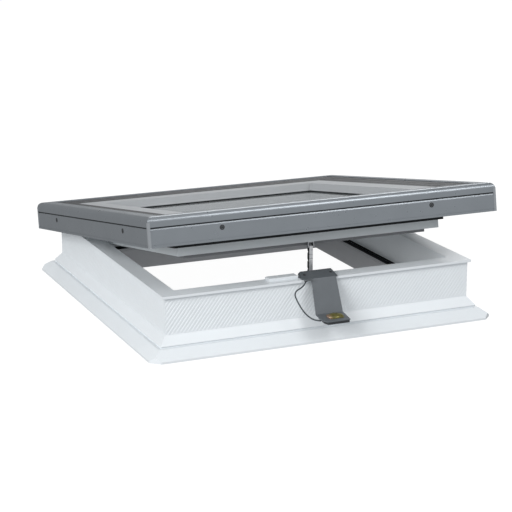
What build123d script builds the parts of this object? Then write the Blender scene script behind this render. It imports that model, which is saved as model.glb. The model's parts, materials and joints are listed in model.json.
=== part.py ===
# Electrically opened flat-roof window: a mitred white plastic curb, a hinged grey sash with its
# cladding frame and insulating glass, a push chain with its drive, and a rain sensor on a bracket.
# Millimetres. X runs along the front side, Y towards the hinges, Z up. The origin is the middle of
# the roof opening, in the plane on which the curb stands. The sash is drawn shut and then opened.
import os
from math import atan2, cos, pi, radians, sin, tan

from build123d import *

# Curb: outer walls, rim, lip and step
curb_width = 824.0
curb_depth = 824.0
curb_height = 150.0
rim_width = 38.0
lip_reach = 7.0
lip_thickness = 6.0
step_width = 22.0
step_height = 56.0

# Curb foot: cant strip, groove, ridge and base flange
cant_top = 53.0
cant_foot = 31.0
cant_reach = 18.0
groove_depth = 2.5
groove_height = 2.5
ridge_drop = 5.0
ridge_reach = 6.0
flange_reach = 28.0
flange_edge = 5.0
flange_corner_cut = 24.0

# Sealing strip on the step
strip_width = 18.0
strip_height = 4.0

# Sash: heights are measured from the curb's rim
cover_overhang = 52.0
cover_drop = 23.5
cover_rise = 49.0
cover_sheet = 3.0
cover_shoulder = 13.0
cover_flat = 38.0
cover_groove_drop = 24.5
cover_groove_height = 3.0
cover_groove_depth = 1.8
cover_groove_slope = 3.5
cover_edge_rise = 5.0
cover_edge_height = 1.8
cover_edge_depth = 1.0
corner_strip_width = 6.0
corner_strip_thickness = 0.8

# Dark glazing band and the light bead inside it
band_width = 56.0
band_drop = 2.0
band_fall = 5.5
band_thickness = 4.0
band_line_places = (20.0, 42.0)
band_line_width = 2.0
band_line_depth = 1.0
bead_width = 55.0
bead_fall = 1.7
bead_height = 21.2
bead_plate = 4.5
bead_lip = 1.5
bead_lip_rise = 2.5
bead_leg_gap = 0.3
sash_joint = 0.3

# Sash frame under the cover
arm_thickness = 19.0
arm_reach = 18.0
frame_gap = 18.0
frame_drop = 60.0
frame_lip_width = 12.0
frame_lip_drop = 9.0
frame_set_back = 2.0
skirt_reach = 10.0
skirt_drop = 39.0
skirt_height = 10.0

# Insulating glass
glass_edge_cover = 18.0
glass_edge_clearance = 3.0
outer_pane = 6.0
pane_gap = 16.0
inner_pane = 7.0
spacer_width = 9.0
upper_seal = 3.7
lower_seal = 2.0
seal_show = 1.5
spacer_inset = 1.0

# Hinges at the back
hinge_height = 18.0
hinge_spacing = 500.0
hinge_barrel_radius = 6.5
hinge_pin_radius = 3.5
hinge_pin_clearance = 0.08
hinge_knuckle = 24.0
hinge_side_knuckle = 12.0
hinge_knuckle_gap = 0.6
hinge_leaf = 3.0
hinge_leaf_width = 60.0
hinge_leaf_depth = 30.0
open_angle = 10.2

# Chain drive on the inner face of the front side
drive_length = 360.0
drive_depth = 30.0
drive_bottom = 20.0
drive_top = 64.0
drive_round = 3.0
drive_cap = 8.0
outlet_length = 34.0
outlet_depth = 14.0
chain_standoff = 7.5
chain_pitch = 22.0
chain_plate_thickness = 1.4
chain_plate_width = 11.0
chain_gap = 5.0
chain_roller_radius = 3.4
chain_tail = 12.0
fork_length = 16.0
fork_ear = 2.0
fork_pin_radius = 2.0
fork_pin_clearance = 0.1
fork_drop = 15.0
fork_pin_drop = 10.5
fork_plate = 2.5
fork_depth = 11.0

# Raised cover on the rim
rim_cover_length = 78.0
rim_cover_start = 136.0
rim_cover_depth = 25.0
rim_cover_height = 7.0
rim_cover_round = 2.0

# Rain sensor: bent bracket, housing at its foot and sensing plate
bracket_sheet = 2.5
bracket_top_left = 53.5
bracket_top_right = 41.0
bracket_top_chamfer = 12.0
bracket_tip_cut = 4.0
bracket_back_inset = 2.0
bracket_back_rise = 7.0
bracket_fold_reach = 9.0
bracket_tab_reach = 9.5
bracket_hook_clearance = 0.4
bracket_hook_prongs = ((-19.0, -8.0), (-4.0, 6.0))
bracket_slope_half_top = 33.0
bracket_slope_half_foot = 36.5
bracket_slope_foot = 43.0
bracket_slope_height = 68.0
sensor_half_tip = 33.0
sensor_depth = 50.0
sensor_corner = 6.0
sensor_thickness = 6.5
sensor_start = 6.0
sensor_inset = 1.5
sensor_fall = 5.0
sensor_plate_length = 42.0
sensor_plate_depth = 27.0
sensor_plate_shift = 4.0
sensor_plate_thickness = 1.5
sensor_plate_round = 8.0
cable_diameter = 3.5
gland_radius = 4.0

# Route of the sensor's cable, from the grommet to the left end of the sensor's housing, as
# (along X, distance in front of the curb's wall, height)
cable_route = [
    (-50.0, 14.5, 148.0),
    (-54.5, 16.0, 140.0),
    (-67.0, 18.0, 133.0),
    (-79.0, 21.0, 129.5),
    (-84.5, 24.5, 121.0),
    (-82.0, 29.0, 110.5),
    (-77.5, 36.0, 98.0),
    (-70.0, 44.5, 82.5),
    (-62.5, 52.0, 73.0),
    (-54.0, 59.0, 66.0),
    (-44.0, 65.5, 62.5),
    (-35.0, 69.5, 61.8),
]

# How far cutting shapes run past what they cut
overrun = 1.0

# Values that follow from those above
half_width = curb_width / 2
half_depth = curb_depth / 2
cover_width = curb_width + 2 * cover_overhang
cover_depth = curb_depth + 2 * cover_overhang
hinge_y = half_depth
hinge_z = curb_height + hinge_height


def mitre_wedge(half_along, half_across, outward, inward, low, high):
    """The space that a front bar may fill, cut at 45 degrees through the frame's corners."""
    points = [
        (-half_along - outward, -half_across - outward),
        (half_along + outward, -half_across - outward),
        (half_along - inward, -half_across + inward),
        (-half_along + inward, -half_across + inward),
    ]
    return extrude(Plane.XY.offset(low) * Polygon(*points, align=None), high - low)


def mitred_bar(section, half_along, half_across, outward, inward, low, high):
    """A front bar: section is drawn as (outward from the reference line, up)."""
    plane = Plane(origin=(0, -half_across, 0), x_dir=(0, -1, 0), z_dir=(-1, 0, 0))
    bar = extrude(plane * section, half_along + outward, both=True)
    return bar & mitre_wedge(half_along, half_across, outward, inward, low, high)


def four_bars(name, section, width, depth, outward, inward, low, high):
    """Front, right, back and left bars of a mitred frame, by name."""
    bars = {}
    for side, turn in (("front", 0), ("right", 90), ("back", 180), ("left", 270)):
        along, across = (width, depth) if turn % 180 == 0 else (depth, width)
        bar = mitred_bar(section, along / 2, across / 2, outward, inward, low, high)
        bars[f"{name}_{side}"] = bar.rotate(Axis.Z, turn)
    return bars


def open_sash(shape):
    """Turns a piece of the sash from its shut place to the open one."""
    return shape.rotate(Axis((0, hinge_y, hinge_z), (1, 0, 0)), -open_angle)


def box_between(low, high):
    """A box from its lowest corner to its highest."""
    size = [b - a for a, b in zip(low, high)]
    return Pos(*low) * Box(*size, align=(Align.MIN, Align.MIN, Align.MIN))


def together(pieces):
    """Several solids of one node as one shape."""
    whole = pieces[0]
    for piece in pieces[1:]:
        whole = whole + piece
    return whole


def curb_section():
    """Section of a curb side: lip, rim, step, cant, groove, ridge and base flange."""
    groove_top = cant_foot
    ridge_height = cant_foot - ridge_drop
    foot = cant_reach + ridge_reach + flange_reach
    outline = [
        (-rim_width - step_width, 0),
        (foot, 0),
        (foot, flange_edge),
        (cant_reach + ridge_reach, ridge_height),
        (cant_reach, ridge_height),
        (cant_reach - groove_depth, ridge_height),
        (cant_reach - groove_depth, groove_top - groove_height / 2),
        (cant_reach, groove_top),
        (0, cant_top),
        (0, curb_height - lip_thickness),
        (lip_reach, curb_height - lip_thickness),
        (lip_reach, curb_height),
        (-rim_width, curb_height),
        (-rim_width, step_height),
        (-rim_width - step_width, step_height),
    ]
    return Polygon(*outline, align=None)


def make_curb():
    """The four mitred sides of the curb, the flange's corners cut off square to the mitre."""
    foot = cant_reach + ridge_reach + flange_reach
    inward = rim_width + step_width + 10
    bars = four_bars("curb", curb_section(), curb_width, curb_depth, foot + 5, inward, -1, curb_height + 1)
    corner_x = half_width + foot
    corner_y = half_depth + foot
    cutters = []
    for sign_x in (-1, 1):
        for sign_y in (-1, 1):
            points = [
                (sign_x * (corner_x + 1), sign_y * (corner_y + 1)),
                (sign_x * (corner_x - flange_corner_cut), sign_y * (corner_y + 1)),
                (sign_x * (corner_x + 1), sign_y * (corner_y - flange_corner_cut)),
            ]
            face = Polygon(*points, align=None)
            cutters.append(extrude(face, cant_foot, dir=(0, 0, 1)))
    for name in bars:
        for cutter in cutters:
            bars[name] = bars[name] - cutter
    return bars


def make_step_strip():
    """The ribbed sealing strip that lies on the step, all round the opening."""
    inner = rim_width + step_width - 1.0
    outer = inner - strip_width
    low, high = step_height, step_height + strip_height

    def ring(width_in, width_out, z0, z1):
        outside = Rectangle(curb_width - 2 * width_out, curb_depth - 2 * width_out)
        inside = Rectangle(curb_width - 2 * width_in, curb_depth - 2 * width_in)
        return extrude(Plane.XY.offset(z0) * (outside - inside), z1 - z0)

    return ring(inner, outer, low, high)


def cover_section():
    """Section of a cladding bar: skirt, grooves, rounded shoulder and flat top."""
    low = curb_height - cover_drop
    top = curb_height + cover_rise
    outline = [
        (0, low),
        (0, top),
        (-cover_flat, top),
        (-cover_flat, top - cover_sheet),
        (-cover_sheet, top - cover_sheet),
        (-cover_sheet, low),
    ]
    sheet = Polygon(*outline, align=None)
    shoulder = sheet.vertices().sort_by_distance((0, top))[0]
    sheet = fillet(shoulder, cover_shoulder)
    bend = sheet.vertices().sort_by_distance((-cover_sheet, top - cover_sheet))[0]
    sheet = fillet(bend, cover_shoulder - cover_sheet)
    groove_top = top - cover_groove_drop
    groove_low = groove_top - cover_groove_height
    groove = [
        (overrun, groove_top),
        (-cover_groove_depth, groove_top),
        (-cover_groove_depth, groove_low),
        (0, groove_low - cover_groove_slope),
        (overrun, groove_low - cover_groove_slope),
    ]
    edge = [
        (overrun, low + cover_edge_rise),
        (overrun, low + cover_edge_rise + cover_edge_height),
        (-cover_edge_depth, low + cover_edge_rise + cover_edge_height),
        (-cover_edge_depth, low + cover_edge_rise),
    ]
    return sheet - Polygon(*groove, align=None) - Polygon(*edge, align=None)


def make_cover():
    """The four cladding bars of the sash."""
    low = curb_height - cover_drop
    top = curb_height + cover_rise
    return four_bars("cover", cover_section(), cover_width, cover_depth, 1, cover_flat + 10, low - 1, top + 1)


def make_corner_strips():
    """The narrow cover strips down the four outer corners of the cladding."""
    low = curb_height - cover_drop
    top = curb_height + cover_rise - cover_shoulder
    strips = []
    for sign_x in (-1, 1):
        for sign_y in (-1, 1):
            corner = (sign_x * cover_width / 2, sign_y * cover_depth / 2)
            outer = [
                (corner[0] + sign_x * corner_strip_thickness, corner[1] + sign_y * corner_strip_thickness),
                (corner[0] - sign_x * corner_strip_width, corner[1] + sign_y * corner_strip_thickness),
                (corner[0] - sign_x * corner_strip_width, corner[1]),
                corner,
                (corner[0], corner[1] - sign_y * corner_strip_width),
                (corner[0] + sign_x * corner_strip_thickness, corner[1] - sign_y * corner_strip_width),
            ]
            face = Plane.XY.offset(low) * Polygon(*outer, align=None)
            strips.append(extrude(face, top - low, dir=(0, 0, 1)))
    return together(strips)


def band_heights():
    """Heights of the dark band's outer edge, its inner edge and the bead's inner edge."""
    outer = curb_height + cover_rise - band_drop
    inner = outer - band_fall
    return outer, inner, inner - bead_fall


def make_band():
    """The dark glazing band between cladding and bead, falling slightly inwards."""
    outer, inner, _ = band_heights()
    start = -cover_flat - sash_joint
    outline = [
        (start, outer),
        (start - band_width, inner),
        (start - band_width, inner - band_thickness),
        (start, inner - band_thickness),
    ]
    section = Polygon(*outline, align=None)
    for place in band_line_places:
        height = outer - band_fall * place / band_width
        section = section - Pos(start - place, height) * Rectangle(band_line_width, 2 * band_line_depth)
    reach = cover_flat + band_width + 10
    return four_bars("band", section, cover_width, cover_depth, 1, reach, curb_height, outer + 1)


def make_bead():
    """The light bead that clamps the glass, with the upright face seen round the pane."""
    _, inner, lip = band_heights()
    start = -cover_flat - band_width - 2 * sash_joint
    plate_low = lip - bead_plate
    bottom = lip - bead_height
    leg = -glass_rebate() - bead_leg_gap
    outline = [
        (start, inner),
        (start - bead_width, lip),
        (start - bead_width, bottom + bead_lip_rise + bead_lip),
        (start - bead_width - bead_lip, bottom + bead_lip_rise),
        (start - bead_width - bead_lip, bottom),
        (leg, bottom),
        (leg, plate_low),
        (start, plate_low),
    ]
    section = Polygon(*outline, align=None)
    reach = cover_flat + band_width + bead_width + 10
    return four_bars("bead", section, cover_width, cover_depth, 1, reach, curb_height, inner + 1)


def frame_lines():
    """Reaches, from the cladding's outer face, of the frame's outer face and the glass opening."""
    outer_face = cover_overhang + rim_width + frame_gap
    opening = cover_flat + band_width + bead_width + 2 * sash_joint
    return outer_face, opening


def glass_top():
    """Height of the glass's upper face."""
    _, _, lip = band_heights()
    return lip - bead_height - upper_seal


def glass_rebate():
    """Reach, from the cladding's outer face, of the rebate that takes the glass."""
    _, opening = frame_lines()
    return opening - glass_edge_cover - glass_edge_clearance


def make_frame():
    """The sash frame: an arm under the cladding, a deep body inside the curb and a glass rebate."""
    outer_face, opening = frame_lines()
    _, inner, lip = band_heights()
    arm_top = curb_height + cover_rise - cover_sheet
    arm_low = arm_top - arm_thickness
    bottom = curb_height - frame_drop
    glass_bottom = glass_top() - outer_pane - pane_gap - inner_pane - lower_seal
    rebate = glass_rebate()
    bead_low = lip - bead_plate
    band_low = inner - band_thickness
    outline = [
        (-arm_reach, arm_low),
        (-arm_reach, arm_top),
        (-cover_flat - sash_joint, arm_top),
        (-cover_flat - sash_joint, band_low),
        (-cover_flat - band_width - 2 * sash_joint, band_low),
        (-cover_flat - band_width - 2 * sash_joint, bead_low),
        (-rebate, bead_low),
        (-rebate, glass_bottom),
        (-opening + frame_set_back, glass_bottom),
        (-opening + frame_set_back, bottom - frame_lip_drop),
        (-opening + frame_set_back + frame_lip_width, bottom - frame_lip_drop),
        (-opening + frame_set_back + frame_lip_width, bottom),
        (-outer_face, bottom),
        (-outer_face, arm_low),
    ]
    section = Polygon(*outline, align=None)
    reach = opening + 10
    return four_bars("frame", section, cover_width, cover_depth, 1, reach, bottom - 20, arm_top + 1)


def rim_ring(reach_out, reach_in, low, high):
    """A flat square ring of the sash, by its reaches in from the cladding's outer face."""
    outside = Rectangle(cover_width - 2 * reach_out, cover_depth - 2 * reach_out)
    inside = Rectangle(cover_width - 2 * reach_in, cover_depth - 2 * reach_in)
    return extrude(Plane.XY.offset(low) * (outside - inside), high - low)


def make_skirt():
    """The black seal round the sash frame, just inside the curb's rim."""
    outer_face, _ = frame_lines()
    low = curb_height - skirt_drop
    return rim_ring(outer_face - skirt_reach, outer_face, low, low + skirt_height)


def make_glass():
    """Outer pane, spacer, inner pane and the two black seals that hold them."""
    _, opening = frame_lines()
    edge = opening - glass_edge_cover
    top = glass_top()
    width = cover_width - 2 * edge
    depth = cover_depth - 2 * edge
    pieces = {}
    pane_low = top - outer_pane
    gap_low = pane_low - pane_gap
    inner_low = gap_low - inner_pane
    pieces["glass_outer"] = extrude(Plane.XY.offset(pane_low) * Rectangle(width, depth), outer_pane)
    pieces["glass_spacer"] = rim_ring(edge + spacer_inset, edge + spacer_inset + spacer_width, gap_low, pane_low)
    pieces["glass_inner"] = extrude(Plane.XY.offset(inner_low) * Rectangle(width, depth), inner_pane)
    upper = rim_ring(edge, opening + seal_show, top, top + upper_seal)
    lower = rim_ring(edge, opening - frame_set_back, inner_low - lower_seal, inner_low)
    pieces["glazing_seals"] = together([upper, lower])
    return pieces


def hinge_place(side):
    """X of a hinge's middle."""
    return side * hinge_spacing / 2


def barrel(x_low, x_high, radius):
    """A round bar along X on the hinge line."""
    plane = Plane(origin=(x_low, hinge_y, hinge_z), x_dir=(0, 1, 0), z_dir=(1, 0, 0))
    return extrude(plane * Circle(radius), x_high - x_low)


def make_hinge_base(side):
    """Curb half of a hinge: a plate on the rim, two outer knuckles and the pin through them."""
    x = hinge_place(side)
    half = hinge_knuckle / 2
    knuckle_start = half + hinge_knuckle_gap
    knuckle_end = knuckle_start + hinge_side_knuckle
    plate = box_between(
        (x - hinge_leaf_width / 2, hinge_y - hinge_leaf_depth, curb_height),
        (x + hinge_leaf_width / 2, hinge_y + hinge_barrel_radius, curb_height + hinge_leaf),
    )
    body = plate
    for end in (-1, 1):
        low, high = sorted((x + end * knuckle_start, x + end * knuckle_end))
        web = box_between(
            (low, hinge_y - hinge_barrel_radius, curb_height),
            (high, hinge_y + hinge_barrel_radius, hinge_z),
        )
        body = body + web + barrel(low, high, hinge_barrel_radius)
    return body + barrel(x - knuckle_end, x + knuckle_end, hinge_pin_radius)


def make_hinge_leaf(side):
    """Sash half of a hinge: a plate under the frame's arm and the middle knuckle."""
    x = hinge_place(side)
    half = hinge_knuckle / 2
    arm_low = curb_height + cover_rise - cover_sheet - arm_thickness
    plate = box_between(
        (x - half, hinge_y - hinge_leaf_depth, arm_low - hinge_leaf),
        (x + half, hinge_y + hinge_barrel_radius, arm_low),
    )
    knuckle = barrel(x - half, x + half, hinge_barrel_radius)
    bore = barrel(x - half - 1, x + half + 1, hinge_pin_radius + hinge_pin_clearance)
    return plate + knuckle - bore


def drive_line():
    """Y of the wall that carries the drive and Y of the chain."""
    wall = -half_depth + rim_width + step_width
    return wall, wall + chain_standoff


def fork_pin():
    """Y and Z of the chain's upper pin with the sash open."""
    _, chain_y = drive_line()
    bottom = curb_height - frame_drop
    shut_z = bottom - fork_pin_drop
    angle = radians(open_angle)
    dy = (chain_y - hinge_y - (shut_z - hinge_z) * sin(angle)) / cos(angle)
    z = hinge_z - dy * sin(angle) + (shut_z - hinge_z) * cos(angle)
    return chain_y, z, dy + hinge_y, shut_z


def make_drive():
    """The drive's housing, with the outlet for the chain, and its end caps."""
    wall, chain_y = drive_line()
    half = drive_length / 2
    block = box_between((-half, wall, drive_bottom), (half, wall + drive_depth, drive_top))
    edges = block.edges().filter_by(Axis.X).filter_by(lambda e: e.center().Y > wall + 1)
    block = fillet(edges, drive_round)
    slot = box_between(
        (-outlet_length / 2, chain_y - outlet_depth / 2 + 1.5, drive_top - 20),
        (outlet_length / 2, chain_y + outlet_depth / 2 + 1.5, drive_top + 1),
    )
    caps = []
    for end in (-1, 1):
        low, high = sorted((end * half, end * (half + drive_cap)))
        cap = box_between((low, wall, drive_bottom - 1), (high, wall + drive_depth + 1, drive_top + 1))
        edges = cap.edges().filter_by(Axis.X).filter_by(lambda e: e.center().Y > wall + 1)
        caps.append(fillet(edges, drive_round))
    return {"drive_housing": block - slot, "drive_caps": together(caps)}


def cross_bar(y, z, radius, half):
    """A round bar along X, centred on the chain's middle plane."""
    return Pos(0, y, z) * Rot(0, 90, 0) * Cylinder(radius, 2 * half)


def link_plates(y, top, inside):
    """Two link plates that run down from the joint at height top, in the inner or outer layer."""
    near = chain_gap / 2 + (0 if inside else chain_plate_thickness)
    plates = []
    for side in (-1, 1):
        low, high = sorted((side * near, side * (near + chain_plate_thickness)))
        plane = Plane(origin=(low, y, top - chain_pitch / 2), x_dir=(0, 0, 1), z_dir=(1, 0, 0))
        face = plane * SlotCenterToCenter(chain_pitch, chain_plate_width)
        plates.append(extrude(face, high - low))
    return plates


def make_chain():
    """The run of push chain from inside the drive's outlet up to its joint on the sash."""
    _, chain_y = drive_line()
    _, top, _, _ = fork_pin()
    count = int((top - drive_top + chain_tail) / chain_pitch)
    pieces = []
    for index in range(count):
        joint = top - index * chain_pitch
        pieces += link_plates(chain_y, joint, index % 2 == 0)
        if index < count - 1:
            pieces.append(cross_bar(chain_y, joint - chain_pitch, chain_roller_radius, chain_gap / 2))
    chain = together(pieces)
    bore = fork_pin_radius + fork_pin_clearance
    return chain - cross_bar(chain_y, top, bore, chain_gap)


def make_fork():
    """The fork under the sash frame and the pin that takes the chain's upper end, drawn shut."""
    _, _, shut_y, shut_z = fork_pin()
    bottom = curb_height - frame_drop
    half = fork_length / 2
    near, far = shut_y - fork_depth / 2, shut_y + fork_depth / 2
    body = box_between((-half, near, bottom - fork_plate), (half, far, bottom))
    for side in (-1, 1):
        low, high = sorted((side * (half - fork_ear), side * half))
        body = body + box_between((low, near, bottom - fork_drop), (high, far, bottom))
    return body + cross_bar(shut_y, shut_z, fork_pin_radius, half)


def make_rim_cover():
    """The low raised cover on the inner edge of the front rim."""
    inner = -half_depth + rim_width
    low = (-rim_cover_start, inner - rim_cover_depth, curb_height)
    high = (-rim_cover_start + rim_cover_length, inner, curb_height + rim_cover_height)
    block = box_between(low, high)
    top = block.faces().sort_by(Axis.Z)[-1]
    return fillet(top.edges(), rim_cover_round)


def bracket_line():
    """Key points of the bracket's lower line, as (distance in front of the middle, height)."""
    rim_inner = half_depth - rim_width
    fold = half_depth + bracket_fold_reach
    foot = half_depth + bracket_slope_foot
    back = (rim_inner + bracket_back_inset, curb_height + bracket_back_rise)
    front = (fold, curb_height)
    bottom = (foot, bracket_slope_height)
    tip = (foot + sensor_depth, bracket_slope_height - sensor_fall)
    return back, front, bottom, tip


def front_sheet(points, left, right):
    """A bent sheet whose lower line is given as (distance in front of the middle, height)."""
    plane = Plane(origin=(left, 0, 0), x_dir=(0, -1, 0), z_dir=(-1, 0, 0))
    face = make_face(offset(Polyline(*points), amount=bracket_sheet, side=Side.LEFT, closed=True))
    return extrude(plane * face, -(right - left))


def upright(points):
    """The upright prism over an outline in plan, taller than the bracket."""
    return extrude(Polygon(*points, align=None), 2 * curb_height, dir=(0, 0, 1))


def make_bracket():
    """The bent sheet that hangs the sensor in front of the curb."""
    back, front, bottom, tip = bracket_line()
    tab = (front[0] + bracket_tab_reach, front[1])
    left, right = bracket_top_left, bracket_top_right
    chamfer = bracket_top_chamfer
    back_y, fold_y, tab_y = -back[0] + overrun, -front[0], -tab[0] - overrun
    plate_plan = upright([
        (-left + chamfer, back_y), (right, back_y), (right, back_y - chamfer), (right - bracket_tip_cut, tab_y),
        (-left, tab_y), (-left, back_y - chamfer),
    ])
    plate = front_sheet([back, front], -left, right) & plate_plan
    ledge = front_sheet([back, front, tab], -left, -bracket_slope_half_top) & plate_plan
    half_top, half_foot = bracket_slope_half_top, bracket_slope_half_foot
    slope_plan = upright([
        (-half_top, back_y), (half_top, back_y), (half_top, fold_y), (half_foot, -bottom[0]),
        (sensor_half_tip, -tip[0] - overrun), (-sensor_half_tip + sensor_corner, -tip[0] - overrun),
        (-half_foot, -tip[0] + 2 * sensor_corner), (-half_foot, -bottom[0]), (-half_top, fold_y),
    ])
    slope = front_sheet([back, front, bottom, tip], -left, left) & slope_plan
    whole = plate + ledge + slope
    run = front[0] - back[0]
    for near, far in bracket_hook_prongs:
        top = curb_height + bracket_back_rise * (front[0] - half_depth - far) / run + bracket_sheet / 2
        whole = whole + box_between(
            (-left - bracket_sheet, -half_depth - far, curb_height + bracket_hook_clearance),
            (-left, -half_depth - near, top),
        )
    return whole


def foot_plane(along, lift):
    """Plane on the bracket's foot, a share of the way along it and lifted off its lower face."""
    _, _, bottom, tip = bracket_line()
    y = -(bottom[0] + (tip[0] - bottom[0]) * along)
    z = bottom[1] + (tip[1] - bottom[1]) * along
    slope = atan2(bottom[1] - tip[1], tip[0] - bottom[0])
    return Plane((0, y, z), x_dir=(1, 0, 0), z_dir=(0, -sin(slope), cos(slope))).offset(lift)


def make_sensor():
    """The sensor's housing under the foot and the sensing plate on top of the foot."""
    half = sensor_half_tip - sensor_inset
    rear, front = sensor_depth / 2 - sensor_start, -sensor_depth / 2
    outline = [
        (-half, rear), (half, rear), (half, front), (-half + sensor_corner, front), (-half, front + 2 * sensor_corner),
    ]
    housing = extrude(foot_plane(0.5, -sensor_thickness) * Polygon(*outline, align=None), sensor_thickness,
                      dir=foot_plane(0.5, 0).z_dir)
    face = RectangleRounded(sensor_plate_length, sensor_plate_depth, sensor_plate_round)
    plate = extrude(foot_plane(0.5, bracket_sheet) * Pos(sensor_plate_shift, 0) * face, sensor_plate_thickness)
    return {"sensor_housing": housing, "sensor_plate": plate}


def cable_points():
    """The cable's route in the model's own frame."""
    return [(along, -half_depth - reach, height) for along, reach, height in cable_route]


def make_gland():
    """The grommet on the bracket's left end from which the cable leaves."""
    x, y, z = cable_points()[0]
    return Pos(x, y, z) * Cylinder(
        gland_radius, curb_height - z, align=(Align.CENTER, Align.CENTER, Align.MIN)
    )


def make_cable():
    """The sensor's cable: straight runs joined by arcs, from the grommet to the housing."""
    route = cable_points()
    runs = [Vector(*b) - Vector(*a) for a, b in zip(route, route[1:])]
    radii = []
    for before, after in zip(runs, runs[1:]):
        turn = radians(before.get_angle(after))
        radii.append(0.45 * min(before.length, after.length) / tan(turn / 2))
    print("cable radii", [round(radius, 1) for radius in radii])
    path = FilletPolyline(*route, radius=radii)
    start = Plane(origin=route[0], z_dir=runs[0])
    tube = sweep(start * Circle(cable_diameter / 2), path=path)
    print("cable length", round(path.length, 1), "volume", round(tube.volume),
          "section times length", round(pi * cable_diameter ** 2 / 4 * path.length))
    return tube


parts = {}
parts.update(make_curb())
parts["step_strip"] = make_step_strip()
parts["drive_cover"] = make_rim_cover()
parts.update(make_drive())
parts["push_chain"] = make_chain()
parts["sensor_bracket"] = make_bracket()
parts.update(make_sensor())
parts["sensor_cable"] = make_cable()
parts["cable_grommet"] = make_gland() - parts["sensor_cable"]
for name, side in (("left", -1), ("right", 1)):
    parts[f"hinge_base_{name}"] = make_hinge_base(side)

sash = {}
sash.update(make_cover())
sash["corner_strips"] = make_corner_strips()
sash.update(make_band())
sash.update(make_bead())
sash.update(make_frame())
sash["sash_seal"] = make_skirt()
sash.update(make_glass())
sash["chain_fork"] = make_fork()
for name, side in (("left", -1), ("right", 1)):
    sash[f"hinge_leaf_{name}"] = make_hinge_leaf(side)
for name, shape in sash.items():
    parts[name] = open_sash(shape)

os.makedirs("parts", exist_ok=True)
for name, shape in parts.items():
    export_step(shape, f"parts/{name}.step")
    print(name, round(shape.volume))
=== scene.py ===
# Looks of the opening flat-roof window: finishes, ribs, screws, seals, linings, the push chain in detail,
# the sensor's cable and face, soft studio light and the camera. Metres, in the frame of the model.
import json
from math import atan2, pi, radians, sin

import bmesh
import bpy
from mathutils import Matrix, Vector


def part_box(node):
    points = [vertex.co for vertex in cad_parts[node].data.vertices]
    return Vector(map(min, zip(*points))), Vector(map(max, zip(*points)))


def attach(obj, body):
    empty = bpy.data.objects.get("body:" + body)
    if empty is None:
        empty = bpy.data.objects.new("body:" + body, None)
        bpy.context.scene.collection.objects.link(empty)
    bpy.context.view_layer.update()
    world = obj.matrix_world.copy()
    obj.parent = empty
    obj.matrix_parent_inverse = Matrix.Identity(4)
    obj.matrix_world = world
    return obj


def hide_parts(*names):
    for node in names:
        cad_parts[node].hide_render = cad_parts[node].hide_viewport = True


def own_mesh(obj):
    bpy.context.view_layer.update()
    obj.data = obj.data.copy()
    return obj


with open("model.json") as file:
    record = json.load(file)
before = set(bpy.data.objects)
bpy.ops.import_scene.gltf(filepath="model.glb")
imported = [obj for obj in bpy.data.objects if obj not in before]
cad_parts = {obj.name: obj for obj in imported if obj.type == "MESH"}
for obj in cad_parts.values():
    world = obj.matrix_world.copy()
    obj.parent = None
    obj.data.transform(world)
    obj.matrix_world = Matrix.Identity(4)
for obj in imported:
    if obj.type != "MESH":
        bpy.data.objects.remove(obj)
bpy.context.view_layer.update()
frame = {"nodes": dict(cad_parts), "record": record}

MM = 0.001
QUARTER_TURN = pi / 2

# Hinge line and opening angle of the sash, as drawn open
HINGE = Vector((0, 0.412, 0.168))
OPEN_ANGLE = radians(10.2)
OPEN = (
    Matrix.Translation(HINGE)
    @ Matrix.Rotation(-OPEN_ANGLE, 4, "X")
    @ Matrix.Translation(-HINGE)
)

# Outer faces of the curb's walls, between the cant below and the rim's lip above
WALL_Y = 412 * MM
WALL_LOW = 53 * MM
LIP_DEPTH = 7 * MM
WALL_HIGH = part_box("curb_front")[1].z - LIP_DEPTH


def add_to_scene(name, data):
    """A new object with this data, linked to the scene."""
    item = bpy.data.objects.new(name, data)
    bpy.context.scene.collection.objects.link(item)
    return item


def place_on_model(name, shape, material, body):
    """A new piece from a bmesh, on its body and with its finish."""
    mesh = bpy.data.meshes.new(name)
    shape.to_mesh(mesh)
    shape.free()
    mesh.materials.append(material)
    piece = add_to_scene(name, mesh)
    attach(piece, body)
    return piece


def set_inputs(node, values):
    """Sets a node's inputs by their names."""
    for name, value in values.items():
        node.inputs[name].default_value = value


# Share of the noise's range that a finish uses
NOISE_LOW = 0.3
NOISE_HIGH = 0.7


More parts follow.
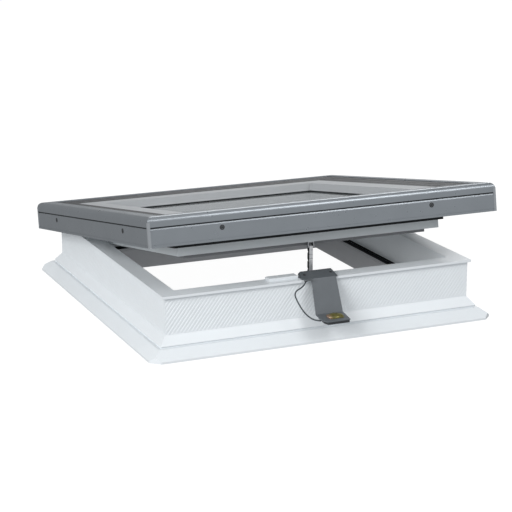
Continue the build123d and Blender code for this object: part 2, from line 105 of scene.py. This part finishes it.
class Finish:
    """A procedural material on Object coordinates, built up node by node."""

    def __init__(self, name, colour, roughness, metallic=0.0, specular=0.5):
        self.material = bpy.data.materials.new(name)
        self.material.use_nodes = True
        self.tree = self.material.node_tree
        self.shader = self.tree.nodes["Principled BSDF"]
        set_inputs(self.shader, {
            "Base Color": (*colour, 1),
            "Roughness": roughness,
            "Metallic": metallic,
            "Specular IOR Level": specular,
        })
        self.colour = colour
        self.roughness = roughness
        self.place = self.add("ShaderNodeTexCoord").outputs["Object"]

    def add(self, kind, **settings):
        node = self.tree.nodes.new(kind)
        for key, value in settings.items():
            setattr(node, key, value)
        return node

    def link(self, output, node_input):
        self.tree.links.new(output, node_input)

    def noise(self, scale, detail=3.0, stretch=(1, 1, 1)):
        """Fractal noise, finer with a larger scale (features per metre)."""
        mapping = self.add("ShaderNodeMapping")
        set_inputs(mapping, {"Scale": stretch})
        self.link(self.place, mapping.inputs["Vector"])
        noise = self.add("ShaderNodeTexNoise")
        set_inputs(noise, {"Scale": scale, "Detail": detail})
        self.link(mapping.outputs["Vector"], noise.inputs["Vector"])
        return noise.outputs["Fac"]

    def ramp(self, value, low, high):
        """Maps the used share of a noise value onto low to high."""
        node = self.add("ShaderNodeMapRange")
        set_inputs(node, {"From Min": NOISE_LOW, "From Max": NOISE_HIGH, "To Min": low, "To Max": high})
        self.link(value, node.inputs["Value"])
        return node.outputs["Result"]

    def mottle(self, scale, amount, stretch=(1, 1, 1)):
        """Lets the colour drift a little lighter and darker."""
        mix = self.add("ShaderNodeMix", data_type="RGBA", blend_type="MULTIPLY")
        set_inputs(mix, {"Factor": 1.0, "A": (*self.colour, 1)})
        grey = self.add("ShaderNodeCombineColor")
        shade = self.ramp(self.noise(scale, 4.0, stretch), 1 - amount, 1 + amount)
        for channel in ("Red", "Green", "Blue"):
            self.link(shade, grey.inputs[channel])
        self.link(grey.outputs["Color"], mix.inputs["B"])
        self.link(mix.outputs["Result"], self.shader.inputs["Base Color"])
        return self

    def vary_roughness(self, scale, amount, stretch=(1, 1, 1)):
        """Lets the gloss drift, as on handled and weathered surfaces."""
        low, high = self.roughness - amount, self.roughness + amount
        self.link(self.ramp(self.noise(scale, 3.0, stretch), low, high), self.shader.inputs["Roughness"])
        return self

    def grain(self, scale, height, stretch=(1, 1, 1)):
        """Fine relief, height in metres."""
        bump = self.add("ShaderNodeBump")
        set_inputs(bump, {"Strength": 1.0, "Distance": height})
        self.link(self.noise(scale, 2.0, stretch), bump.inputs["Height"])
        self.link(bump.outputs["Normal"], self.shader.inputs["Normal"])
        return self


def white_plastic():
    """White window plastic with a satin skin."""
    finish = Finish("white_window_plastic", (0.76, 0.795, 0.82), 0.34, specular=0.4)
    return finish.mottle(9, 0.012).vary_roughness(30, 0.04).material


def grey_cladding():
    """Grey powder-coated aluminium with a satin, slightly metallic skin."""
    finish = Finish("grey_powder_coat", (0.30, 0.325, 0.35), 0.30, metallic=0.7)
    return finish.mottle(14, 0.03).vary_roughness(50, 0.03).material


def corner_grey():
    """The corner strips' slightly lighter powder coat."""
    finish = Finish("light_corner_coat", (0.33, 0.35, 0.37), 0.35, metallic=0.4)
    return finish.mottle(20, 0.03).vary_roughness(50, 0.03).material


def dark_band():
    """Matt dark grey of the glazing band."""
    finish = Finish("dark_glazing_band", (0.040, 0.043, 0.047), 0.5, specular=0.3)
    return finish.mottle(25, 0.08).vary_roughness(50, 0.06).material


def light_frame():
    """Light grey plastic of the glazing beads."""
    finish = Finish("light_grey_sash_plastic", (0.42, 0.435, 0.45), 0.42)
    return finish.mottle(12, 0.02).vary_roughness(40, 0.05).material


def frame_plastic():
    """Paler grey plastic of the sash's own frame."""
    finish = Finish("pale_grey_frame_plastic", (0.66, 0.70, 0.72), 0.42)
    return finish.mottle(12, 0.02).vary_roughness(40, 0.05).material


def painted_shade_lining():
    """Mid grey painted shade on the curb's lower inner walls and on the edge of its step, where the white
    plastic lies in shadow.
    """
    finish = Finish("painted_shade_lining", (0.40, 0.405, 0.42), 0.4)
    return finish.mottle(10, 0.04).vary_roughness(30, 0.05).material


def painted_shade_trim():
    """Dark grey painted shade on a thin ring along the sash's inner edge, where its lower edge lies in
    shadow above the opening.
    """
    finish = Finish("dark_grey_painted_shade", (0.19, 0.195, 0.205), 0.4)
    return finish.mottle(10, 0.04).vary_roughness(30, 0.05).material


def black_rubber():
    """Black sealing rubber with a dusty sheen."""
    finish = Finish("black_sealing_rubber", (0.010, 0.012, 0.014), 0.6, specular=0.3)
    return finish.mottle(60, 0.25).vary_roughness(90, 0.08).material


def window_glass():
    """Float glass: half see-through, with a reflecting surface."""
    finish = Finish("float_glass", (0.60, 0.625, 0.63), 0.06)
    set_inputs(finish.shader, {"Transmission Weight": 0.55, "IOR": 1.5})
    return finish.mottle(3, 0.01).vary_roughness(6, 0.015).material


def drive_aluminium():
    """Satin anodised aluminium, drawn along X."""
    finish = Finish("satin_anodised_aluminium", (0.62, 0.63, 0.64), 0.34, metallic=1.0)
    finish.mottle(30, 0.04, (0.05, 1, 1))
    return finish.vary_roughness(120, 0.06, (0.03, 1, 1)).grain(1500, 0.01 * MM, (0.03, 1, 1)).material


def black_plastic():
    """Fine-grained black plastic."""
    finish = Finish("black_grained_plastic", (0.02, 0.02, 0.022), 0.48)
    return finish.mottle(40, 0.12).vary_roughness(80, 0.06).grain(1600, 0.02 * MM).material


def chain_steel():
    """Bright nickel-plated chain steel."""
    finish = Finish("bright_chain_steel", (0.85, 0.85, 0.86), 0.35, metallic=0.8)
    return finish.mottle(180, 0.08).vary_roughness(260, 0.07).material


def painted_shade_plate_steel():
    """Steel of the chain's side plates and rivets, near-black as painted shade and painted dark
    reflection.
    """
    # Near-black base colour: painted shade and painted dark reflection on the plates' sides
    finish = Finish("chain_plates_painted_shade", (0.03, 0.032, 0.035), 0.4, metallic=0.6)
    return finish.mottle(160, 0.12).vary_roughness(200, 0.06).material


def hinge_steel():
    """Zinc-plated steel."""
    finish = Finish("zinc_plated_steel", (0.55, 0.56, 0.58), 0.33, metallic=1.0)
    return finish.mottle(90, 0.10).vary_roughness(160, 0.08).material


def bracket_coat():
    """Dark grey powder coat of the sensor's bracket."""
    finish = Finish("dark_bracket_coat", (0.125, 0.138, 0.15), 0.42, metallic=0.2)
    return finish.mottle(30, 0.05).vary_roughness(80, 0.05).grain(1700, 0.01 * MM).material


def housing_coat():
    """Near-black coat of the sensor's housing and of the cladding's screws."""
    finish = Finish("dark_housing_coat", (0.022, 0.025, 0.028), 0.45)
    return finish.mottle(30, 0.08).vary_roughness(80, 0.05).material


# Along X, a pinkish painted highlight grows on the sensing surface from the first place to the second
PAINTED_HIGHLIGHT_START = -6 * MM
PAINTED_HIGHLIGHT_END = -16 * MM


def sensor_gold():
    """Gold-coloured sensing surface with fine tracks, and a pinkish painted highlight at its left end."""
    finish = Finish("sensor_tracks", (0.24, 0.20, 0.045), 0.32, metallic=0.5)
    split = finish.add("ShaderNodeSeparateXYZ")
    finish.link(finish.place, split.inputs["Vector"])
    painted_highlight = finish.add("ShaderNodeMapRange")
    set_inputs(painted_highlight, {"From Min": PAINTED_HIGHLIGHT_START, "From Max": PAINTED_HIGHLIGHT_END})
    finish.link(split.outputs["X"], painted_highlight.inputs["Value"])
    tone = finish.add("ShaderNodeMix", data_type="RGBA")
    # Colour B, pinkish: a painted highlight towards the left end
    set_inputs(tone, {"A": (0.22, 0.19, 0.04, 1), "B": (0.42, 0.27, 0.20, 1)})
    finish.link(painted_highlight.outputs["Result"], tone.inputs["Factor"])
    patches = finish.add("ShaderNodeMix", data_type="RGBA")
    set_inputs(patches, {"B": (0.08, 0.085, 0.05, 1)})
    finish.link(tone.outputs["Result"], patches.inputs["A"])
    finish.link(finish.ramp(finish.noise(130, 2.0), 0.0, 0.7), patches.inputs["Factor"])
    finish.link(patches.outputs["Result"], finish.shader.inputs["Base Color"])
    return finish.vary_roughness(120, 0.08).grain(900, 0.03 * MM, (1, 0.1, 1)).material


def cable_sheath():
    """Dark grey cable sheath."""
    finish = Finish("dark_cable_sheath", (0.035, 0.045, 0.052), 0.45)
    return finish.mottle(120, 0.12).vary_roughness(200, 0.06).material


FINISHES = {
    "white_plastic": white_plastic(),
    "grey_cladding": grey_cladding(),
    "corner_grey": corner_grey(),
    "dark_band": dark_band(),
    "light_grey_frame": light_frame(),
    "frame_plastic": frame_plastic(),
    "painted_shade_lining": painted_shade_lining(),
    "painted_shade_trim": painted_shade_trim(),
    "black_rubber": black_rubber(),
    "glass": window_glass(),
    "drive_aluminium": drive_aluminium(),
    "black_plastic": black_plastic(),
    "chain_steel": chain_steel(),
    "chain_plates": painted_shade_plate_steel(),
    "hinge_steel": hinge_steel(),
    "bracket_grey": bracket_coat(),
    "housing_coat": housing_coat(),
    "sensor_gold": sensor_gold(),
    "cable_grey": cable_sheath(),
}


def dress_nodes():
    """Every node gets its slot's finish; the sensor's housing is darker, the sash's frame paler."""
    for part in frame["record"]["subparts"]:
        mesh = frame["nodes"][part["node"]].data
        mesh.materials.clear()
        mesh.materials.append(FINISHES[part["material_slot"]])
    frame["nodes"]["sensor_housing"].data.materials[0] = FINISHES["housing_coat"]
    for side in ("front", "right", "back", "left"):
        frame["nodes"][f"frame_{side}"].data.materials[0] = FINISHES["frame_plastic"]


def placed(shape, matrix):
    """The shape, moved and turned by the matrix."""
    bmesh.ops.transform(shape, matrix=matrix, verts=shape.verts)
    return shape


def turned(profile, steps=24):
    """A closed round shape about Z; the profile is (radius, height) in mm, on the axis at both ends."""
    shape = bmesh.new()
    points = [shape.verts.new((radius * MM, 0, height * MM)) for radius, height in profile]
    lines = [shape.edges.new(pair) for pair in zip(points, points[1:])]
    bmesh.ops.spin(
        shape, geom=points + lines, cent=(0, 0, 0), axis=(0, 0, 1), angle=2 * pi, steps=steps,
        use_merge=True,
    )
    bmesh.ops.remove_doubles(shape, verts=shape.verts, dist=1e-7)
    bmesh.ops.recalc_face_normals(shape, faces=shape.faces)
    return shape


def joined(shapes):
    """Several shapes as one."""
    whole = bmesh.new()
    for shape in shapes:
        mesh = bpy.data.meshes.new("part")
        shape.to_mesh(mesh)
        shape.free()
        whole.from_mesh(mesh)
        bpy.data.meshes.remove(mesh)
    return whole


def cut_off(shape, point, normal):
    """Takes away what lies beyond a plane and closes the cut."""
    cut = bmesh.ops.bisect_plane(
        shape, geom=shape.verts[:] + shape.edges[:] + shape.faces[:], plane_co=point, plane_no=normal,
        clear_outer=True,
    )
    edges = [item for item in cut["geom_cut"] if isinstance(item, bmesh.types.BMEdge)]
    bmesh.ops.holes_fill(shape, edges=edges, sides=0)


# Camera at the photograph's viewing angle
CAMERA_PLACE = Vector((-1.7006, -3.9081, 1.2617))
CAMERA_LOOK = Vector((0.38561, 0.88444, -0.26283))
CAMERA_LENS = 115.74
CAMERA_REACH = 200


def look_along(item, direction):
    """Turns a camera or a light to look along a direction."""
    item.rotation_mode = "QUATERNION"
    item.rotation_quaternion = direction.to_track_quat("-Z", "Y")


def make_camera():
    """The camera from which the photograph's view is seen."""
    camera = add_to_scene("camera", bpy.data.cameras.new("camera"))
    camera.data.lens = CAMERA_LENS
    camera.data.clip_end = CAMERA_REACH
    camera.location = CAMERA_PLACE
    look_along(camera, CAMERA_LOOK)
    bpy.context.scene.camera = camera


# Cable: sizes, and its middle line in millimetres from the grommet to the sensor's housing
CABLE_DIAMETER = 3.5 * MM
CABLE_ROUTE = [
    (-50.0, -426.5, 148.0),
    (-54.5, -428.0, 140.0),
    (-67.0, -430.0, 133.0),
    (-79.0, -433.0, 129.5),
    (-84.5, -436.5, 121.0),
    (-82.0, -441.0, 110.5),
    (-77.5, -448.0, 98.0),
    (-70.0, -456.5, 82.5),
    (-62.5, -464.0, 73.0),
    (-54.0, -471.0, 66.0),
    (-44.0, -477.5, 62.5),
    (-35.0, -481.5, 61.8),
]


def make_cable():
    """The sensor's cable, one smooth line from the grommet to the sensor's housing."""
    curve = bpy.data.curves.new("cable_line", "CURVE")
    curve.dimensions = "3D"
    curve.bevel_depth = CABLE_DIAMETER / 2
    curve.bevel_resolution = 6
    curve.resolution_u = 12
    curve.use_fill_caps = True
    spline = curve.splines.new("NURBS")
    spline.points.add(len(CABLE_ROUTE) - 1)
    for point, (x, y, z) in zip(spline.points, CABLE_ROUTE):
        point.co = (x * MM, y * MM, z * MM, 1)
    spline.order_u = 3
    spline.use_endpoint_u = True
    curve.materials.append(FINISHES["cable_grey"])
    cable = add_to_scene("cable", curve)
    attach(cable, "curb")
    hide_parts("sensor_cable")


# Ribs of the curb's walls; the spare length and the spare ribs are cut off at the wall's edges
RIB_PITCH = 10 * MM
RIB_WIDTH = 5 * MM
RIB_HEIGHT = 0.45 * MM
RIB_SINK = 0.2 * MM
RIB_ANGLE = radians(53)
RIB_SPARE = 4 * RIB_WIDTH
SPARE_RIBS = 6


def rib_bar(length):
    """One rib before it is turned and cut: a bar along X with its two long outer edges bevelled."""
    bar = bmesh.new()
    bmesh.ops.create_cube(bar, size=1)
    bmesh.ops.scale(bar, vec=(length, RIB_SINK + RIB_HEIGHT, RIB_WIDTH), verts=bar.verts)
    outer = []
    for edge in bar.edges:
        start, end = (vert.co for vert in edge.verts)
        if start.y < 0 and end.y < 0 and abs(start.x - end.x) > RIB_WIDTH:
            outer.append(edge)
    bmesh.ops.bevel(
        bar, geom=outer, offset=RIB_HEIGHT, offset_type="OFFSET", segments=1, profile=0.5,
        affect="EDGES", material=-1,
    )
    return bar


def make_ribs():
    """Fine slanting ribs on the four curb walls, cut off at the lip, the cant and the corners."""
    length = (WALL_HIGH - WALL_LOW) / sin(RIB_ANGLE) + RIB_SPARE
    middle = (WALL_HIGH + WALL_LOW) / 2
    lean = Matrix.Rotation(-RIB_ANGLE, 4, "Y")
    count = int(WALL_Y / RIB_PITCH) + SPARE_RIBS
    bars = []
    for index in range(-count, count + 1):
        place = Matrix.Translation((index * RIB_PITCH, -WALL_Y + (RIB_SINK - RIB_HEIGHT) / 2, middle))
        bars.append(placed(rib_bar(length), place @ lean))
    wall = joined(bars)
    cut_off(wall, (0, 0, WALL_LOW), (0, 0, -1))
    cut_off(wall, (0, 0, WALL_HIGH), (0, 0, 1))
    cut_off(wall, (WALL_Y, 0, 0), (1, 0, 0))
    cut_off(wall, (-WALL_Y, 0, 0), (-1, 0, 0))
    bmesh.ops.recalc_face_normals(wall, faces=wall.faces)
    sides = []
    for turn in range(4):
        side = wall.copy()
        about_z = Matrix.Rotation(turn * QUARTER_TURN, 3, "Z")
        bmesh.ops.rotate(side, cent=(0, 0, 0), matrix=about_z, verts=side.verts)
        sides.append(side)
    wall.free()
    place_on_model("wall_ribs", joined(sides), FINISHES["white_plastic"], "curb")


# Screws of the cladding: how far out, along and up they stand; profiles in millimetres
SCREW_REACH = 464 * MM
SCREW_ALONG = 280 * MM
SCREW_HEIGHT = 158.5 * MM
CUP_PROFILE = [(0, -2.0), (6.2, -2.0), (6.2, 0.5), (5.4, 0.7), (4.6, 0.1), (0, -0.4)]
HEAD_PROFILE = [(0, -1.4), (3.4, -1.4), (3.4, 0.2), (2.6, 0.55), (1.2, 0.7), (0, 0.72)]


def make_screws():
    """Two countersunk screws in dark cups on each side of the cladding."""
    for name, profile, material, slot in (
        ("screw_cups", CUP_PROFILE, FINISHES["black_plastic"], "black_plastic"),
        ("screw_heads", HEAD_PROFILE, FINISHES["housing_coat"], "bracket_grey"),
    ):
        rounds = []
        for turn in range(4):
            for along in (-SCREW_ALONG, SCREW_ALONG):
                stand = (
                    Matrix.Rotation(turn * QUARTER_TURN, 4, "Z")
                    @ Matrix.Translation((along, -SCREW_REACH, SCREW_HEIGHT))
                    @ Matrix.Rotation(QUARTER_TURN, 4, "X")
                )
                rounds.append(placed(turned(profile), OPEN @ stand))
        place_on_model(name, joined(rounds), material, "sash")


# Push chain: its place, and the height to which it shortens as the sash shuts
CHAIN_Y = -344.5 * MM
CHAIN_TOP = 214.2 * MM
CHAIN_PITCH = 11 * MM
CHAIN_LINKS = 14

# Its side plates, in an outer layer on every other link and an inner one between, and their rivets
PLATE_RADIUS = 4.6 * MM
PLATE_THICKNESS = 1.3 * MM
PLATE_LAYERS = (4.7 * MM, 3.4 * MM)
RIVET_Y = CHAIN_Y + 0.6 * MM
RIVET_RADIUS = 1.5 * MM
RIVET_LENGTH = 11.4 * MM

# Its shoes, which butt in front, the necks behind them and the rollers between the plates
SHOE_SIZE = (9.6 * MM, 2.6 * MM, CHAIN_PITCH - 0.6 * MM)
SHOE_Y = CHAIN_Y - 4.3 * MM
SHOE_EDGE = 0.5 * MM
NECK_SIZE = (5.4 * MM, 5.0 * MM, 4.4 * MM)
NECK_Y = CHAIN_Y - 0.6 * MM
ROLLER_RADIUS = 3.0 * MM
ROLLER_LENGTH = 5.4 * MM


def block(size, centre, edge=0.0):
    """A box, with its edges eased where edge is given."""
    shape = bmesh.new()
    bmesh.ops.create_cube(shape, size=1)
    bmesh.ops.scale(shape, vec=size, verts=shape.verts)
    if edge:
        bmesh.ops.bevel(
            shape, geom=shape.edges[:], offset=edge, offset_type="OFFSET", segments=2, profile=0.5,
            affect="EDGES", material=-1,
        )
    bmesh.ops.translate(shape, vec=centre, verts=shape.verts)
    return shape


def rod(radius, length, centre):
    """A round bar along X."""
    shape = bmesh.new()
    bmesh.ops.create_cone(
        shape, cap_ends=True, segments=16, radius1=radius, radius2=radius, depth=length
    )
    along_x = Matrix.Rotation(QUARTER_TURN, 3, "Y")
    bmesh.ops.rotate(shape, cent=(0, 0, 0), matrix=along_x, verts=shape.verts)
    bmesh.ops.translate(shape, vec=centre, verts=shape.verts)
    return shape


def link_plate(x, top):
    """A link plate with round ends, hanging from the joint at height top."""
    shape = bmesh.new()
    for height in (top, top - CHAIN_PITCH):
        place = Matrix.Translation((x, RIVET_Y, height)) @ Matrix.Rotation(QUARTER_TURN, 4, "Y")
        bmesh.ops.create_cone(
            shape, cap_ends=True, segments=20, radius1=PLATE_RADIUS, radius2=PLATE_RADIUS,
            depth=PLATE_THICKNESS, matrix=place,
        )
    hull = bmesh.ops.convex_hull(shape, input=shape.verts)
    spare = {
        item for item in hull["geom_interior"] + hull["geom_unused"]
        if isinstance(item, bmesh.types.BMVert)
    }
    bmesh.ops.delete(shape, geom=list(spare), context="VERTS")
    bmesh.ops.recalc_face_normals(shape, faces=shape.faces)
    return shape


def make_chain():
    """The push chain in detail: side plates with rivets in near-black painted shade, and bright shoes that
    butt in front.
    """
    plates, shoes = [], []
    for index in range(CHAIN_LINKS):
        top = CHAIN_TOP - index * CHAIN_PITCH
        middle = top - CHAIN_PITCH / 2
        for side in (-1, 1):
            plates.append(link_plate(side * PLATE_LAYERS[index % 2], top))
        if index:
            plates.append(rod(RIVET_RADIUS, RIVET_LENGTH, (0, RIVET_Y, top)))
        shoes.append(block(SHOE_SIZE, (0, SHOE_Y, middle), SHOE_EDGE))
        shoes.append(block(NECK_SIZE, (0, NECK_Y, middle)))
        shoes.append(rod(ROLLER_RADIUS, ROLLER_LENGTH, (0, RIVET_Y, top - CHAIN_PITCH)))
    for name, shapes, material in (
        ("chain_side_plates", plates, FINISHES["chain_plates"]),
        ("chain_shoes", shoes, FINISHES["chain_steel"]),
    ):
        piece = place_on_model(name, joined(shapes), material, "curb")
        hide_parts("push_chain")
        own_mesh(piece)


# Square rings of seals, joint lines and sheets of painted shade, in millimetres: half the outer side, half
# the inner side, lower and upper height. Those on the sash are given for the shut sash.
STRIP_TOP = 60.0
STRIP_SINK = 0.4
STRIP_RIB_WIDTH = 1.4
STRIP_RIBS = [
    (half, half - STRIP_RIB_WIDTH, STRIP_TOP - STRIP_SINK, STRIP_TOP + 0.9)
    for half in (370.0, 366.2, 362.4, 358.6)
]
STRIP_UPSTAND = (374.2, 374.2 - STRIP_RIB_WIDTH, STRIP_TOP - STRIP_SINK, STRIP_TOP + 4.0)
# Grey ring on the step's edge: painted shade
STRIP_EDGE_SHADE = (354.2, 352.2, STRIP_TOP - 4.0, STRIP_TOP + 0.6)
SEAL_LIP = (370.5, 364.0, 118.8, 120.2)
# Grey ring inside the curb's foot: painted shade on the lower inner walls
CURB_SHADE_LINING = (352.2, 351.2, 0.5, 55.8)
JOINT_LINE = (463.4, 462.0, 171.7, 174.3)
# Dark grey ring along the sash's inner edge: painted shade
EDGE_SHADE_RING = (329.0, 315.8, 80.4, 89.0)


def square_ring(ring):
    """A flat square ring round the Z axis."""
    half_out, half_in, low, high = (value * MM for value in ring)
    shape = bmesh.new()
    bmesh.ops.create_grid(shape, x_segments=1, y_segments=1, size=half_out)
    bmesh.ops.inset_region(
        shape, faces=shape.faces[:], thickness=half_out - half_in, use_even_offset=True,
        use_boundary=True,
    )
    middle = [face for face in shape.faces if face.calc_center_median().length < MM]
    bmesh.ops.delete(shape, geom=middle, context="FACES")
    grown = bmesh.ops.extrude_face_region(shape, geom=shape.faces[:])
    top = [item for item in grown["geom"] if isinstance(item, bmesh.types.BMVert)]
    bmesh.ops.translate(shape, vec=(0, 0, high - low), verts=top)
    bmesh.ops.translate(shape, vec=(0, 0, low), verts=shape.verts)
    bmesh.ops.recalc_face_normals(shape, faces=shape.faces)
    return shape


def place_rings(name, rings, finish, body):
    """A piece made of square rings, turned open where it rides on the sash."""
    shape = joined([square_ring(ring) for ring in rings])
    if body == "sash":
        placed(shape, OPEN)
    place_on_model(name, shape, FINISHES[finish], body)


def make_seals():
    """The thin lip on the sash's seal, the ribs of the strip on the curb's step, and painted shade in grey
    on the step's edge.
    """
    place_rings("seal_lip", [SEAL_LIP], "black_rubber", "sash")
    place_rings("step_strip_ribs", [*STRIP_RIBS, STRIP_UPSTAND], "black_rubber", "curb")
    place_rings("step_edge_painted_shade", [STRIP_EDGE_SHADE], "painted_shade_lining", "curb")


def make_painted_shade_and_joint_line():
    """Painted shade in mid grey inside the curb's foot, dark joint line in the cladding's groove, painted
    shade in dark grey along the sash's inner edge.
    """
    place_rings("curb_painted_shade_lining", [CURB_SHADE_LINING], "painted_shade_lining", "curb")
    place_rings("cladding_joint_line", [JOINT_LINE], "black_rubber", "sash")
    place_rings("sash_edge_painted_shade", [EDGE_SHADE_RING], "painted_shade_trim", "sash")


# Small domed screws, all in millimetres
SMALL_HEAD = [(0, -0.8), (3.4, -0.8), (3.4, 0.4), (2.8, 1.3), (1.4, 1.8), (0, 1.9)]
SMALL_HEAD_STEPS = 16

# The bracket's top plate rises from its fold, level with the curb's rim, towards the back
RIM_HEIGHT = 150
BRACKET_FOLD_Y = -421
BRACKET_RISE = 7
BRACKET_RUN = 45
BRACKET_SHEET = 2.5
BRACKET_SCREWS_X = (-41, 31)
BRACKET_SCREWS_Y = -398

# Screws on the hinge bases, each pair about its hinge's middle, and on the drive's caps
HINGE_X = 250
HINGE_SCREW_OFFSET = 22
HINGE_SCREWS_Y = 393
HINGE_SCREWS_Z = 153
CAP_SCREW_X = 188
CAP_SCREW_Y = -337
CAP_SCREW_Z = 42


def small_head(x, y, z, turn, axis):
    """A small domed screw head at a place in millimetres, turned about an axis."""
    place = Matrix.Translation((x * MM, y * MM, z * MM)) @ Matrix.Rotation(turn, 4, axis)
    return placed(turned(SMALL_HEAD, SMALL_HEAD_STEPS), place)


def make_fixings():
    """Screws on the bracket's top plate, the hinges and the drive's caps."""
    rise = BRACKET_RISE * (BRACKET_SCREWS_Y - BRACKET_FOLD_Y) / BRACKET_RUN
    height = RIM_HEIGHT + rise + BRACKET_SHEET
    slope = atan2(BRACKET_RISE, BRACKET_RUN)
    bracket = [small_head(x, BRACKET_SCREWS_Y, height, slope, "X") for x in BRACKET_SCREWS_X]
    place_on_model("bracket_screws", joined(bracket), FINISHES["black_plastic"], "curb")
    fixed = []
    for side in (-1, 1):
        for offset in (-HINGE_SCREW_OFFSET, HINGE_SCREW_OFFSET):
            fixed.append(small_head(side * HINGE_X + offset, HINGE_SCREWS_Y, HINGE_SCREWS_Z, 0, "Z"))
        fixed.append(small_head(side * CAP_SCREW_X, CAP_SCREW_Y, CAP_SCREW_Z, side * QUARTER_TURN, "Y"))
    place_on_model("curb_screws", joined(fixed), FINISHES["hinge_steel"], "curb")


# Sensing surface: the middle of the dome's foot, its half sizes and the fall of the bracket's foot
SENSOR_MIDDLE = Vector((4, -480.2, 69.4)) * MM
SENSOR_DOME = (21.2 * MM, 14.0 * MM, 6.2 * MM)
SENSOR_FALL = 5.0
SENSOR_DEPTH = 50.0


def make_sensor_face():
    """The domed sensing surface on the sensor's plate."""
    dome = bmesh.new()
    bmesh.ops.create_uvsphere(dome, u_segments=40, v_segments=20, radius=1)
    bmesh.ops.scale(dome, vec=SENSOR_DOME, verts=dome.verts)
    cut_off(dome, (0, 0, 0), (0, 0, -1))
    for face in dome.faces:
        face.smooth = True
    bmesh.ops.recalc_face_normals(dome, faces=dome.faces)
    tilt = Matrix.Rotation(atan2(SENSOR_FALL, SENSOR_DEPTH), 4, "X")
    placed(dome, Matrix.Translation(SENSOR_MIDDLE) @ tilt)
    place_on_model("sensor_dome", dome, FINISHES["sensor_gold"], "curb")


# Surroundings: strength towards the front and the back, and how far along Y the one fades to the other
AIR_COLOUR = (0.96, 0.98, 1.0, 1)
FRONT_GLOW = 0.555
BACK_GLOW = 0.29
GLOW_SPAN = 0.8

# Floor, just under the curb so that the two don't flicker
FLOOR_HALF = 30
FLOOR_DROP = 0.5 * MM
FLOOR_GREY = 0.10
FLOOR_GLOW = 0.97

# Square soft lights: name, place, side and power; all look at one point
LIGHT_AIM = Vector((0, 0, 0.15))
LIGHTS = [
    ("key", (-4.6, -2.6, 2.6), 3.0, 240),
    ("shine", (1.6, -2.7, 2.75), 1.5, 30),
    ("top", (0.2, -0.4, 3.6), 2.4, 4),
    ("back", (1.8, 3.4, 2.6), 2.5, 52),
]


def make_floor():
    """Pale floor that glows by itself and throws no light up on the window."""
    shape = bmesh.new()
    bmesh.ops.create_grid(shape, x_segments=1, y_segments=1, size=FLOOR_HALF)
    bmesh.ops.translate(shape, vec=(0, 0, -FLOOR_DROP), verts=shape.verts)
    mesh = bpy.data.meshes.new("floor")
    shape.to_mesh(mesh)
    shape.free()
    finish = Finish("pale_floor", (FLOOR_GREY, FLOOR_GREY, FLOOR_GREY), 0.9, specular=0.0)
    set_inputs(finish.shader, {"Emission Color": (1, 1, 1, 1), "Emission Strength": FLOOR_GLOW})
    finish.material.cycles.emission_sampling = "NONE"
    mesh.materials.append(finish.material)
    floor = add_to_scene("floor", mesh)
    floor.visible_diffuse = False
    floor.visible_glossy = False


def make_surroundings():
    """White surroundings, brighter in front of the window than behind it."""
    world = bpy.data.worlds.new("studio")
    world.use_nodes = True
    tree = world.node_tree
    background = tree.nodes["Background"]
    set_inputs(background, {"Color": AIR_COLOUR})
    direction = tree.nodes.new("ShaderNodeTexCoord")
    split = tree.nodes.new("ShaderNodeSeparateXYZ")
    tree.links.new(direction.outputs["Generated"], split.inputs["Vector"])
    glow = tree.nodes.new("ShaderNodeMapRange")
    set_inputs(glow, {
        "From Min": -GLOW_SPAN, "From Max": GLOW_SPAN, "To Min": FRONT_GLOW, "To Max": BACK_GLOW,
    })
    tree.links.new(split.outputs["Y"], glow.inputs["Value"])
    tree.links.new(glow.outputs["Result"], background.inputs["Strength"])
    bpy.context.scene.world = world


def make_lights():
    """The four soft lights."""
    for name, place, size, power in LIGHTS:
        light = bpy.data.lights.new(name, "AREA")
        light.shape = "SQUARE"
        light.size = size
        light.energy = power
        lamp = add_to_scene(name, light)
        lamp.location = place
        look_along(lamp, LIGHT_AIM - Vector(place))


make_camera()
make_cable()
dress_nodes()
make_ribs()
make_screws()
make_chain()
make_seals()
make_painted_shade_and_joint_line()
make_fixings()
make_sensor_face()
make_floor()
make_surroundings()
make_lights()
bpy.context.scene.view_settings.view_transform = "Standard"
